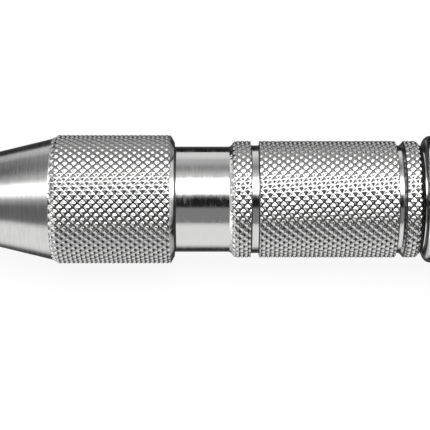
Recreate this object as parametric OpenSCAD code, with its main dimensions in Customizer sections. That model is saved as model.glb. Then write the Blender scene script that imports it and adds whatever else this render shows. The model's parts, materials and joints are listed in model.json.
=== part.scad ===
// Automatic center punch, lying along X with its point towards -X and its axis on the X axis.
// The origin is the very tip of the point. All lengths are in millimetres.
// The radii form one chain from the thin stem outwards, so that a changed wall moves all that lies round it.

/* [Point] */
// Length of the ground cone at the tip
tip_l = 3.4; // [2.6:0.1:4]
// Radius of the blunt end of the tip
tip_flat_r = 0.12; // [0.05:0.01:0.3]
// Length of the bare cylinder behind the tip
point_l = 14; // [11:0.5:16]
// Length of the taper between the bare cylinder and the shank
point_taper_l = 4; // [3:0.5:6]
// Length of shank that shows in front of the nose
shank_show = 2; // [1:0.5:4]
// How far the point can be pushed in
stroke = 10; // [8:0.5:11]
// Radius of the thin stem that pushes the latch
stem_r = 1.25; // [1.1:0.05:1.5]
// How much thicker the shank is than the stem
shoulder_step = 1.25; // [1.1:0.05:1.4]
// How much thinner the point is than the shank
point_step = 0.5; // [0.4:0.05:0.7]

/* [Nose and collar] */
// Length of the bare nose cone
cone_l = 17.5; // [15:0.5:20]
// Wall of the nose cone at its small end
nose_wall = 0.8; // [0.7:0.05:1]
// Wall of the bush in the nose
bush_wall = 1.05; // [0.9:0.05:1.2]
// Wall of the nose cone at its thread
cone_thread_wall = 1.3; // [1.2:0.05:1.5]
// Length of the knurled front collar
collar_l = 15.2; // [14.4:0.2:18]
// Wall of the front collar over the barrel's thread
collar_wall = 1.65; // [1.5:0.05:1.9]
// Height of the chamfer round the collar's front
collar_chamfer_r = 0.46; // [0.3:0.02:0.6]

/* [Grip] */
// Length of the smooth neck
neck_l = 6.8; // [6:0.2:9]
// Wall of the barrel at its rear thread
rear_wall = 1.02; // [0.9:0.02:1.2]
// How far the knurl stands out over the neck
grip_step = 0.7; // [0.6:0.05:0.8]
// Length of the knurled grip with both of its end chamfers
grip_l = 23.8; // [22:0.2:30]
// Width of each groove round the grip
groove_w = 1.05; // [0.8:0.05:1.4]
// Depth of each groove round the grip
groove_d = 0.54; // [0.4:0.02:0.6]
// Width of the knurled band in front of the first groove
end_band_l = 1.95; // [1.6:0.05:3]
// Width of the knurled band behind the second groove
rear_band_l = 1.5; // [1.3:0.05:2.5]

/* [Adjusting cap] */
// Gap between the grip and the bead when the cap is screwed home
cap_gap = 0.25; // [0.2:0.05:1]
// Length of the knurled cap sleeve with its bead
cap_l = 27.85; // [26:0.05:34]
// Wall of the cap at its bead
bead_wall = 1.33; // [1.23:0.02:1.5]
// Radius of the bead's round edge
bead_round_r = 0.95; // [0.8:0.05:1.05]
// Depth of the polished waist behind the bead
waist_d = 0.6; // [0.4:0.05:0.7]
// How far the cap's knurl stands out over the bead
cap_rise = 0.1; // [0.05:0.05:0.4]
// Length of the domed end that stands out of the sleeve
dome_l = 10.6; // [9:0.2:14]
// How much smaller the domed end is than the sleeve
dome_step = 0.4; // [0.3:0.05:0.5]
// How much larger the ball is from which the dome is cut
dome_ball_rise = 1.1; // [1:0.1:1.5]
// Radius of the flat at the very end of the dome
end_flat_r = 2.8; // [2:0.1:3.2]
// How far the cap can be screwed back from the grip
cap_travel = 4; // [2:0.5:4.5]

/* [Hammer] */
// Wall of the hammer's slide beside the latch
slide_side_wall = 1.95; // [1.8:0.05:2.1]
// Length of the hammer's heavy head
head_l = 6; // [5:0.5:8]
// Free flight of the hammer before it strikes the shank
strike_gap = 6; // [5:0.5:7]
// Length of the latch block along the hammer
latch_l = 3.6; // [3:0.2:4]
// Wall of the latch block beside the stem's hole
latch_side_wall = 0.4; // [0.3:0.05:0.5]
// Sideways travel of the latch block
latch_shift = 0.9; // [0.8:0.05:1]

/* [Springs] */
// Radius of the main spring's wire
main_wire_r = 0.65; // [0.55:0.05:0.7]
// Turns of the main spring
main_turns = 10; // [8:1:11]
// Radius of the return spring's wire
return_wire_r = 0.28; // [0.25:0.01:0.32]
// Turns of the return spring
return_turns = 6.5; // [5:0.5:7]

/* [Fits] */
// Radial clearance of a sliding or screwed fit
run_gap = 0.05; // [0.03:0.01:0.08]
// Radial clearance that stands for a pressed fit
press_gap = 0.02; // [0.01:0.01:0.03]
// Gap left at an end stop
stop_gap = 0.1; // [0.05:0.01:0.2]
// Small edge chamfer
edge = 0.3; // [0.2:0.05:0.35]

/* [Hidden] */
$fn = 96;
over = 1;

// Radii of the front, from the stem outwards: shank, point, bush, return spring's chamber, cone
tang_wall = 1;
bush_seat_w = 0.6;
nose_hole_gap = 0.2;
clip_side_gap = 0.3;
shank_r = stem_r + shoulder_step;
point_r = shank_r - point_step;
tang_r = shank_r - tang_wall;
bush_r = shank_r + run_gap + bush_wall;
nose_chamber_r = bush_r + bush_seat_w;
clip_r = nose_chamber_r - clip_side_gap;
cone_thread_r = nose_chamber_r + cone_thread_wall;
cone_tip_r = shank_r + nose_wall;

// Radii of the rear, from the stem outwards: latch, hammer's slide, cam, chamber, thread, neck
stem_hole_gap = 0.1;
sleeve_wall = 0.47;
thread_relief = 0.03;
cam_slope = latch_shift / stroke;
cam_lead_l = 0.4;
stem_hole_r = stem_r + stem_hole_gap;
latch_w = 2 * (stem_hole_r + latch_side_wall);
slide_r = latch_w / 2 + slide_side_wall;
guide_r = slide_r + run_gap;
cam_mouth_r = guide_r + latch_shift + cam_slope * (latch_l + cam_lead_l);
rear_chamber_r = cam_mouth_r + sleeve_wall + press_gap;
rear_thread_r = rear_chamber_r + rear_wall;
neck_r = rear_thread_r + thread_relief;

// Radii of the outside, from the neck outwards: barrel's front thread, collar, grip, cap, dome
neck_step = 0.25;
barrel_thread_wall = 1.7;
collar_end_step = 0.56;
barrel_thread_r = neck_r - neck_step;
front_chamber_r = barrel_thread_r - barrel_thread_wall;
collar_r = barrel_thread_r + run_gap + collar_wall;
collar_end_r = neck_r + collar_end_step;
cone_base_r = collar_r - collar_chamfer_r;
grip_r = neck_r + grip_step;
bead_r = rear_thread_r + run_gap + bead_wall;
cap_r = bead_r + cap_rise;
waist_r = bead_r - waist_d;
dome_r = cap_r - dome_step;
dome_ball_r = dome_r + dome_ball_rise;

// Stations of the outside, from the tip backwards
shank_x = tip_l + 2 * edge + point_l + point_taper_l;
nose_x = shank_x + shank_show;
collar_x = nose_x + cone_l;
neck_x = collar_x + collar_l;
grip_x = neck_x + neck_l;
grip_end_x = grip_x + grip_l;
cap_x = grip_end_x + cap_gap;
dome_x = cap_x + cap_l;
end_x = dome_x + dome_l;

// Collar: a chamfer in front, a smooth turned end behind, threads at both ends
collar_front_chamfer_l = 0.75;
collar_end_ring_l = 0.5;
cone_thread_l = 6;
neck_seat_l = 0.5;
joint_gap = 0.3;
cone_end_x = collar_x + cone_thread_l;
barrel_x = cone_end_x + joint_gap;
neck_seat_x = neck_x - neck_seat_l;

// Nose: a clearance hole in front, then the bush, then the return spring's chamber
nose_lip_l = 6;
nose_edge = 0.45;
bush_l = 10;
bush_x = nose_x + nose_lip_l;
bush_end_x = bush_x + bush_l;

// Punch: the point is screwed into the rod by a tang
tang_l = 6;
tang_x = bush_x + bush_l / 2;
clip_groove_d = 0.4;
clip_t = 0.8;
clip_mouth_w = 3.2;
clip_x = bush_end_x + stop_gap;

// Barrel: web that the return spring stands on, then the rear chamber
web_set = 0.3;
web_t = 3;
web_x = neck_x + web_set;
sleeve_x = web_x + web_t;
washer_hole_gap = 0.15;
return_washer_t = 0.6;
return_washer_x = web_x - return_washer_t;
shoulder_set = 0.6;
shoulder_x = web_x + shoulder_set;
dome_spigot_l = 3;
dome_spigot_x = dome_x - dome_spigot_l;
barrel_end_gap = 0.4;
barrel_end_x = dome_spigot_x - barrel_end_gap;
groove_1_x = grip_x + grip_step + end_band_l;
groove_2_x = grip_end_x - grip_step - rear_band_l - groove_w;
groove_lip = 0.09;
snap_groove_d = 0.45;
snap_ring_t = 0.8;
snap_ring_rise = 0.35;
snap_ring_set = 1;
snap_ring_x = barrel_end_x - snap_ring_set - snap_ring_t;
snap_mouth_w = 4;

// Hammer, latch and the cam that shifts the latch while the hammer is carried back
hammer_x = shoulder_x + strike_gap;
latch_setback = 3;
latch_x = hammer_x + latch_setback;
latch_end_x = latch_x + latch_l;
cam_x = latch_x - cam_lead_l;
cam_end_x = latch_end_x + stroke;
guide_l = 3.6;
sleeve_end_x = cam_end_x + guide_l;
latch_top = slide_r - run_gap + latch_shift;
latch_crown_r = 3.4;
latch_foot = 1.15;
latch_low = latch_shift - stem_hole_r - latch_foot;
slot_floor_wall = 0.7;
slot_floor = slot_floor_wall - slide_r;
stem_end_x = latch_x - run_gap;
stem_room = 1;
stem_bore_end_x = latch_x + strike_gap + stem_room;
leaf_t = 0.25;
leaf_end_gap = 0.4;
leaf_side_gap = 0.1;
leaf_l = latch_l - 2 * leaf_end_gap;
leaf_half_w = latch_w / 2 - leaf_side_gap;
buffer_t = 0.8;
head_x = sleeve_end_x + buffer_t + stop_gap;
head_r = rear_chamber_r - run_gap;
head_end_x = head_x + head_l;
main_washer_t = 0.5;
main_x = head_end_x + main_washer_t;
spring_side_gap = 0.3;
main_r = rear_chamber_r - main_wire_r - spring_side_gap;
spigot_r = main_r - main_wire_r - spring_side_gap;
spigot_l = 3;
center_hole_r = 1;
center_hole_l = 1.6;

// Rear of the cap: dome, thrust ball and the seat that the main spring stands on
dome_flat_l = sqrt(pow(dome_ball_r, 2) - pow(end_flat_r, 2));
dome_ball_x = end_x - dome_flat_l;
stop_bore_r = rear_thread_r + snap_ring_rise + run_gap;
stop_bore_x = snap_ring_x - cap_travel - stop_gap;
dome_wall = 4.6;
dome_floor_x = end_x - dome_wall;
seat_room = 1.4;
seat_t = 1.5;
seat_end_x = dome_floor_x - seat_room;
seat_x = seat_end_x - seat_t;
seat_r = rear_chamber_r - run_gap;
thrust_ball_r = 1.6;
thrust_ball_x = (seat_end_x + dome_floor_x) / 2;
friction_set = 3;
friction_ring_x = cap_x + 2 * bead_round_r + friction_set;
friction_ring_w = 1.2;
friction_groove_d = 0.5;
waist_l = 1.1;
cap_chamfer = 0.7;
cap_end_band_l = 2.35;
cap_groove_x = dome_x - cap_end_band_l - groove_w;

// Springs, each between the faces that hold it
return_side_gap = 0.5;
return_x = clip_x + clip_t;
return_r = nose_chamber_r - return_wire_r - return_side_gap;
return_l = return_washer_x - return_x;
main_l = seat_x - main_x;

// Solid of revolution about the X axis, from an outline of [x, r] points
module turned(outline) {
    rotate([0, 90, 0]) rotate_extrude() polygon([for (p = outline) [p[1], p[0]]]);
}

// Cylinder along X from x0 to x1
module rod(r, x0, x1) {
    translate([x0, 0, 0]) rotate([0, 90, 0]) cylinder(r = r, h = x1 - x0);
}

// Cone along X with radius r0 at x0 and r1 at x1
module taper(r0, r1, x0, x1) {
    translate([x0, 0, 0]) rotate([0, 90, 0]) cylinder(r1 = r0, r2 = r1, h = x1 - x0);
}

// Ring along X
module ring(outer_r, inner_r, x0, x1) {
    difference() {
        rod(outer_r, x0, x1);
        rod(inner_r, x0 - over, x1 + over);
    }
}

// Ring with a mouth cut through its side, which faces +Z
module open_ring(outer_r, inner_r, x0, x1, mouth_w) {
    difference() {
        ring(outer_r, inner_r, x0, x1);
        translate([x0 - over, -mouth_w / 2, 0]) cube([x1 - x0 + 2 * over, mouth_w, outer_r + over]);
    }
}

// Helical wire along X, as one tube with a ring of corners at each step
coil_steps = 8;
coil_sides = 6;
function coil_center(turn, r, pitch) = [pitch * turn, r * cos(360 * turn), r * sin(360 * turn)];
function coil_out(turn) = [0, cos(360 * turn), sin(360 * turn)];
function coil_along(turn, r, pitch) =
    let (v = [pitch, -2 * PI * r * sin(360 * turn), 2 * PI * r * cos(360 * turn)]) v / norm(v);
function coil_ring(turn, r, pitch, wire_r) = [
    for (side = [0 : coil_sides - 1])
        let (a = 360 * side / coil_sides)
        coil_center(turn, r, pitch)
            + wire_r * cos(a) * coil_out(turn)
            + wire_r * sin(a) * cross(coil_along(turn, r, pitch), coil_out(turn))
];
function coil_gap(r, pitch, wire_r) = min([
    for (i = [-2 : 2])
        norm(coil_center(1 + i / coil_steps, r, pitch) - coil_center(0, r, pitch)) - 2 * wire_r
]);

module coil(r, wire_r, length, turns) {
    pitch = (length - 2 * wire_r) / turns;
    rings = round(turns * coil_steps);
    corners = [for (i = [0 : rings]) each coil_ring(turns * i / rings, r, pitch, wire_r)];
    walls = [
        for (i = [0 : rings - 1], j = [0 : coil_sides - 1])
            let (a = i * coil_sides + j, b = i * coil_sides + (j + 1) % coil_sides)
            each [[a, b, a + coil_sides], [b, b + coil_sides, a + coil_sides]]
    ];
    front_end = [for (j = [1 : coil_sides - 2]) [0, j + 1, j]];
    last = rings * coil_sides;
    back_end = [for (j = [1 : coil_sides - 2]) [last, last + j, last + j + 1]];
    translate([wire_r, 0, 0]) polyhedron(corners, concat(front_end, walls, back_end));
}

echo(main_spring_gap = coil_gap(main_r, (main_l - 2 * main_wire_r) / main_turns, main_wire_r));
echo(return_spring_gap = coil_gap(return_r, (return_l - 2 * return_wire_r) / return_turns, return_wire_r));

// Hardened point: ground tip, bare cylinder, shank and the tang that screws into the rod
module punch_point() {
    color("gray") turned([
        [0, 0], [0, tip_flat_r], [tip_l, point_r - edge], [tip_l + 2 * edge, point_r],
        [tip_l + 2 * edge + point_l, point_r], [shank_x, shank_r - edge],
        [shank_x + edge, shank_r], [tang_x, shank_r], [tang_x, tang_r],
        [tang_x + tang_l, tang_r], [tang_x + tang_l, 0]
    ]);
}

// Rod behind the point, with the clip's groove, the striking shoulder and the stem
module punch_rod() {
    color("silver") difference() {
        turned([
            [tang_x, 0], [tang_x, shank_r], [clip_x, shank_r], [clip_x, shank_r - clip_groove_d],
            [clip_x + clip_t, shank_r - clip_groove_d], [clip_x + clip_t, shank_r],
            [shoulder_x - edge, shank_r], [shoulder_x, shank_r - edge], [shoulder_x, stem_r],
            [stem_end_x - edge, stem_r], [stem_end_x, stem_r - edge], [stem_end_x, 0]
        ]);
        rod(tang_r + press_gap, tang_x - over, tang_x + tang_l + joint_gap);
    }
}

// Clip in the rod's groove, which stops the point at the bush
module rod_stop_ring() {
    color("dimgray") open_ring(clip_r, shank_r - clip_groove_d + press_gap,
        clip_x + press_gap, clip_x + clip_t - press_gap, clip_mouth_w);
}

// Light spring that pushes the point out again
module return_spring() {
    color("gainsboro") translate([return_x, 0, 0]) coil(return_r, return_wire_r, return_l, return_turns);
}

// Washer between the return spring and the barrel's web
module return_spring_washer() {
    color("silver") ring(front_chamber_r - stop_gap, shank_r + washer_hole_gap, return_washer_x, web_x);
}

// Bare turned cone, screwed into the collar
module nose_cone() {
    color("silver") turned([
        [nose_x, shank_r + nose_hole_gap], [nose_x, cone_tip_r - nose_edge],
        [nose_x + nose_edge, cone_tip_r + nose_edge * (cone_base_r - cone_tip_r) / cone_l],
        [collar_x, cone_base_r], [collar_x, cone_thread_r], [cone_end_x - edge, cone_thread_r],
        [cone_end_x, cone_thread_r - edge], [cone_end_x, nose_chamber_r],
        [bush_end_x, nose_chamber_r], [bush_end_x, bush_r + press_gap],
        [bush_x, bush_r + press_gap], [bush_x, shank_r + nose_hole_gap]
    ]);
}

// Bush pressed into the nose, in which the shank runs
module nose_bush() {
    color("goldenrod") turned([
        [bush_x, shank_r + run_gap + edge], [bush_x, bush_r - edge], [bush_x + edge, bush_r],
        [bush_end_x, bush_r], [bush_end_x, shank_r + run_gap],
        [bush_x + edge, shank_r + run_gap]
    ]);
}

// Knurled collar that joins the nose cone to the barrel
module front_collar() {
    color("silver") turned([
        [collar_x, cone_thread_r + run_gap], [collar_x, cone_base_r],
        [collar_x + collar_front_chamfer_l, collar_r], [neck_x - collar_end_ring_l, collar_r],
        [neck_x, collar_end_r], [neck_x, neck_r + run_gap],
        [neck_seat_x, neck_r + run_gap], [neck_seat_x, barrel_thread_r + run_gap],
        [barrel_x - joint_gap / 2, barrel_thread_r + run_gap],
        [barrel_x - joint_gap / 2, cone_thread_r + run_gap]
    ]);
}

// Barrel: front thread, polished neck, knurled grip with its two grooves, rear thread
module barrel() {
    color("silver") turned([
        [barrel_x, front_chamber_r], [barrel_x, barrel_thread_r - edge],
        [barrel_x + edge, barrel_thread_r], [neck_seat_x, barrel_thread_r],
        [neck_seat_x, neck_r], [grip_x, neck_r], [grip_x + grip_step, grip_r],
        [groove_1_x, grip_r], [groove_1_x, grip_r - groove_d],
        [groove_1_x + groove_w, grip_r - groove_d], [groove_1_x + groove_w, grip_r],
        [groove_2_x, grip_r], [groove_2_x, grip_r - groove_d],
        [groove_2_x + groove_w - groove_d + groove_lip, grip_r - groove_d],
        [groove_2_x + groove_w, grip_r - groove_lip], [groove_2_x + groove_w, grip_r],
        [grip_end_x - grip_step, grip_r], [grip_end_x, neck_r], [grip_end_x, rear_thread_r],
        [snap_ring_x, rear_thread_r], [snap_ring_x, rear_thread_r - snap_groove_d],
        [snap_ring_x + snap_ring_t, rear_thread_r - snap_groove_d],
        [snap_ring_x + snap_ring_t, rear_thread_r], [barrel_end_x - edge, rear_thread_r],
        [barrel_end_x, rear_thread_r - edge], [barrel_end_x, rear_chamber_r],
        [sleeve_x, rear_chamber_r], [sleeve_x, shank_r + run_gap],
        [web_x, shank_r + run_gap], [web_x, front_chamber_r]
    ]);
}

// Hardened sleeve whose tapered bore pushes the latch sideways
module cam_sleeve() {
    color("darkgray") turned([
        [sleeve_x, cam_mouth_r], [sleeve_x, rear_chamber_r - press_gap],
        [sleeve_end_x, rear_chamber_r - press_gap], [sleeve_end_x, guide_r],
        [cam_end_x, guide_r], [cam_x, cam_mouth_r]
    ]);
}

// Fibre washer that softens the stop of the hammer's head
module buffer_washer() {
    color("sienna") ring(rear_chamber_r - stop_gap, guide_r + stop_gap,
        sleeve_end_x, sleeve_end_x + buffer_t);
}

// Hammer: slide with the latch's slot and the stem's bore, heavy head, spring spigot
module hammer() {
    color("slategray") difference() {
        turned([
            [hammer_x, 0], [hammer_x, slide_r - edge], [hammer_x + edge, slide_r],
            [head_x, slide_r], [head_x, head_r - edge], [head_x + edge, head_r],
            [head_end_x, head_r], [head_end_x, spigot_r], [head_end_x + spigot_l - edge, spigot_r],
            [head_end_x + spigot_l, spigot_r - edge], [head_end_x + spigot_l, 0]
        ]);
        rod(stem_hole_r, hammer_x - over, stem_bore_end_x);
        rod(center_hole_r, head_end_x + spigot_l - center_hole_l, head_end_x + spigot_l + over);
        translate([latch_x - run_gap, -latch_w / 2 - run_gap, slot_floor])
            cube([latch_l + 2 * run_gap, latch_w + 2 * run_gap, slide_r - slot_floor + over]);
    }
}

// Latch block, held off centre so that the stem pushes on its face
module latch_block() {
    color("darkorange") difference() {
        intersection() {
            translate([0, 0, latch_top - latch_crown_r])
                taper(latch_crown_r + cam_slope * latch_l, latch_crown_r, latch_x, latch_end_x);
            translate([latch_x - over, -latch_w / 2, latch_low])
                cube([latch_l + 2 * over, latch_w, latch_top - latch_low + over]);
        }
        translate([0, 0, latch_shift]) rod(stem_hole_r, latch_x - over, latch_end_x + over);
    }
}

// Bent leaf under the latch block, which pushes it off centre
module latch_leaf_spring() {
    rise = latch_low - slot_floor - 2 * run_gap;
    bend_r = (pow(leaf_half_w, 2) + pow(rise, 2)) / (2 * rise);
    x0 = latch_x + leaf_end_gap;
    color("steelblue") intersection() {
        translate([0, 0, slot_floor + run_gap + rise - bend_r])
            ring(bend_r, bend_r - leaf_t, x0, x0 + leaf_l);
        translate([x0 - over, -leaf_half_w, slot_floor + run_gap])
            cube([leaf_l + 2 * over, 2 * leaf_half_w, rise + over]);
    }
}

// Washer between the hammer's head and the main spring
module main_spring_washer() {
    color("silver") ring(head_r - stop_gap, spigot_r + run_gap, head_end_x, main_x);
}

// Strong spring that drives the hammer
module main_spring() {
    color("gainsboro") translate([main_x, 0, 0]) coil(main_r, main_wire_r, main_l, main_turns);
}

// Seat that the main spring pushes against, with a spigot and a dimple for the ball
module spring_seat() {
    color("darkgray") difference() {
        turned([
            [seat_x - spigot_l, 0], [seat_x - spigot_l, spigot_r - edge],
            [seat_x - spigot_l + edge, spigot_r], [seat_x, spigot_r], [seat_x, seat_r - edge],
            [seat_x + edge, seat_r], [seat_end_x, seat_r], [seat_end_x, 0]
        ]);
        translate([thrust_ball_x, 0, 0]) sphere(r = thrust_ball_r + press_gap);
    }
}

// Ball that lets the cap turn on the seat
module thrust_ball() {
    color("white") translate([thrust_ball_x, 0, 0]) sphere(r = thrust_ball_r);
}

// Knurled sleeve of the adjusting cap, with the polished bead in front
module adjusting_cap() {
    bead_end_x = cap_x + 2 * bead_round_r;
    knurl_x = bead_end_x + waist_l;
    color("silver") rotate([0, 90, 0]) rotate_extrude() difference() {
        union() {
            translate([bead_r - bead_round_r, cap_x + bead_round_r]) circle(r = bead_round_r);
            translate([0, cap_x]) square([bead_r - bead_round_r, 2 * bead_round_r]);
            polygon([
                [0, cap_x + bead_round_r], [waist_r, cap_x + bead_round_r], [waist_r, knurl_x],
                [cap_r, knurl_x + cap_chamfer], [cap_r, cap_groove_x],
                [cap_r - groove_d, cap_groove_x], [cap_r - groove_d, cap_groove_x + groove_w],
                [cap_r, cap_groove_x + groove_w], [cap_r, dome_x - cap_chamfer],
                [cap_r - cap_chamfer, dome_x], [0, dome_x]
            ]);
        }
        translate([0, cap_x - over]) square([rear_thread_r + run_gap, stop_bore_x - cap_x + 2 * over]);
        translate([0, stop_bore_x]) square([stop_bore_r, dome_x - stop_bore_x + over]);
        translate([0, friction_ring_x])
            square([rear_thread_r + run_gap + friction_groove_d, friction_ring_w]);
    }
}

// Ring in the cap that rubs on the barrel's thread and keeps the setting
module cap_friction_ring() {
    color("ivory") ring(rear_thread_r + run_gap + friction_groove_d - press_gap,
        rear_thread_r + press_gap, friction_ring_x + press_gap,
        friction_ring_x + friction_ring_w - press_gap);
}

// Snap ring on the barrel that stops the cap from coming off
module cap_stop_ring() {
    color("dimgray") open_ring(rear_thread_r + snap_ring_rise,
        rear_thread_r - snap_groove_d + press_gap, snap_ring_x + press_gap,
        snap_ring_x + snap_ring_t - press_gap, snap_mouth_w);
}

// Polished domed end, pressed into the sleeve, hollow for the main spring
module cap_dome() {
    color("silver") rotate([0, 90, 0]) rotate_extrude() difference() {
        intersection() {
            polygon([
                [0, dome_spigot_x], [stop_bore_r - press_gap - edge, dome_spigot_x],
                [stop_bore_r - press_gap, dome_spigot_x + edge], [stop_bore_r - press_gap, dome_x],
                [dome_r - edge, dome_x], [dome_r, dome_x + edge], [dome_r, end_x], [0, end_x]
            ]);
            union() {
                translate([0, dome_spigot_x - over])
                    square([dome_r + over, dome_ball_x - dome_spigot_x + over]);
                translate([0, dome_ball_x]) circle(r = dome_ball_r);
            }
        }
        translate([0, dome_spigot_x - over])
            square([rear_chamber_r, dome_floor_x - dome_spigot_x + over]);
        translate([0, thrust_ball_x]) circle(r = thrust_ball_r + press_gap);
    }
}

punch_point();
punch_rod();
rod_stop_ring();
return_spring();
return_spring_washer();
nose_cone();
nose_bush();
front_collar();
barrel();
cam_sleeve();
buffer_washer();
hammer();
latch_block();
latch_leaf_spring();
main_spring_washer();
main_spring();
spring_seat();
thrust_ball();
adjusting_cap();
cap_friction_ring();
cap_stop_ring();
cap_dome();
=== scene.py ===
"""Automatic center punch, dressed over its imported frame.

The tool lies along X with its point towards -X. Every turned piece that shows is a lathe mesh made by one
Geometry Nodes tree, which also cuts the diamond knurl. A second tree winds the two springs, and the bent leaf
is drawn as a strip. The other nodes of the frame keep their own meshes and get a procedural finish. All sizes
in the classes are in millimetres and are turned into metres on the way out.
"""

import sys
import json
import logging
import math
from dataclasses import dataclass
from enum import Enum
from typing import Callable, ClassVar, Optional, Sequence, Union

import bmesh
import bpy
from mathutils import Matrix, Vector

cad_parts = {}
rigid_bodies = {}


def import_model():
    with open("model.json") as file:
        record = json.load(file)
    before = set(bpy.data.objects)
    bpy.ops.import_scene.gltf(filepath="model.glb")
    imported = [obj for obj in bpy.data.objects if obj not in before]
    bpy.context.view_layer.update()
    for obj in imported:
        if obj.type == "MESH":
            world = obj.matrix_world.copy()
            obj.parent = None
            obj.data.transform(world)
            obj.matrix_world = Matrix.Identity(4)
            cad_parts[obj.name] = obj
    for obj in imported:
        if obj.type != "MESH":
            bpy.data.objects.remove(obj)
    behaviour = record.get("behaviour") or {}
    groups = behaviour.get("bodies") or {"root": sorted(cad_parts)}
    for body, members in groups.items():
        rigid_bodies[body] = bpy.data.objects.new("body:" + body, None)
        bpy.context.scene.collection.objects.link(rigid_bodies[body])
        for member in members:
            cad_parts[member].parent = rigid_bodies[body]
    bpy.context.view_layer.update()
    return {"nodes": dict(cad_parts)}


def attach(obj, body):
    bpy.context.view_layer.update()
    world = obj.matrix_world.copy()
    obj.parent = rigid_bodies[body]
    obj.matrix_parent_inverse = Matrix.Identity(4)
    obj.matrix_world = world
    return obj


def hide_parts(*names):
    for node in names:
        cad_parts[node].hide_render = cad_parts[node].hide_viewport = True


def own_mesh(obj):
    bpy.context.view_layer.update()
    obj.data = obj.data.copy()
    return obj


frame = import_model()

LOG = logging.getLogger("center_punch")
MM = 0.001
TRAVEL = 10.0  # how far the point and the hammer slide, in millimetres
CREASE = math.radians(30)  # edges sharper than this stay crisp
Value = Union[float, Sequence[float], "Link"]


# Objects and nodes


def placed(name: str, data: bpy.types.ID) -> bpy.types.Object:
    """Adds an object to the scene.

    Args:
        name: the object's name.
        data: its mesh, camera or light.

    Returns:
        The new object, at the origin.
    """
    made = bpy.data.objects.new(name, data)
    bpy.context.scene.collection.objects.link(made)
    return made


def aim(thing: bpy.types.Object, target: Vector) -> None:
    """Turns a camera or a lamp from where it stands towards a point."""
    thing.rotation_mode = "QUATERNION"
    thing.rotation_quaternion = (target - thing.location).to_track_quat("-Z", "Y")


def _operator(operation: str, flipped: bool = False) -> Callable[["Link", Value], "Link"]:
    """Returns a method of Link that runs one Math operation.

    Args:
        operation: the Math node's operation.
        flipped: whether the other value comes first, as in 1 - link.

    Returns:
        The method.
    """

    def run(self: "Link", other: Value) -> "Link":
        """Returns the Math node's result on both values."""
        return self.maker.math(operation, *((other, self) if flipped else (self, other)))

    return run


class Link:
    """A node socket with arithmetic, so that shader maths reads as plain expressions."""

    def __init__(self, maker: "NodeMaker", socket: bpy.types.NodeSocket) -> None:
        """Wraps one output socket.

        Args:
            maker: the tree in which new Math nodes are made.
            socket: the output socket to wrap.
        """
        self.maker = maker
        self.socket = socket

    __add__, __radd__ = _operator("ADD"), _operator("ADD", flipped=True)
    __sub__, __rsub__ = _operator("SUBTRACT"), _operator("SUBTRACT", flipped=True)
    __mul__, __rmul__ = _operator("MULTIPLY"), _operator("MULTIPLY", flipped=True)
    __truediv__, __rtruediv__ = _operator("DIVIDE"), _operator("DIVIDE", flipped=True)
    __pow__ = _operator("POWER")
    least, most, over = _operator("MINIMUM"), _operator("MAXIMUM"), _operator("GREATER_THAN")

    def magnitude(self) -> "Link":
        """Returns the absolute value."""
        return self.maker.math("ABSOLUTE", self)

    def ramp(self, low: Value, high: Value, start: float = 0.0, end: float = 1.0) -> "Link":
        """Maps low..high smoothly to start..end.

        Args:
            low: the value that gives start.
            high: the value that gives end.
            start: the result at and below low.
            end: the result at and above high.

        Returns:
            The mapped value.
        """
        return self.maker.made(
            "ShaderNodeMapRange",
            {"interpolation_type": "SMOOTHSTEP"},
            {"Value": self, "From Min": low, "From Max": high, "To Min": start, "To Max": end},
            "Result",
        )

    def between(self, low: float, high: float, low_soft: float, high_soft: float) -> "Link":
        """Returns 1 inside low..high and 0 outside, with a fade of twice the soft size at each end."""
        rising = self.ramp(low - low_soft, low + low_soft)
        return rising * self.ramp(high - high_soft, high + high_soft, 1.0, 0.0)


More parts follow.
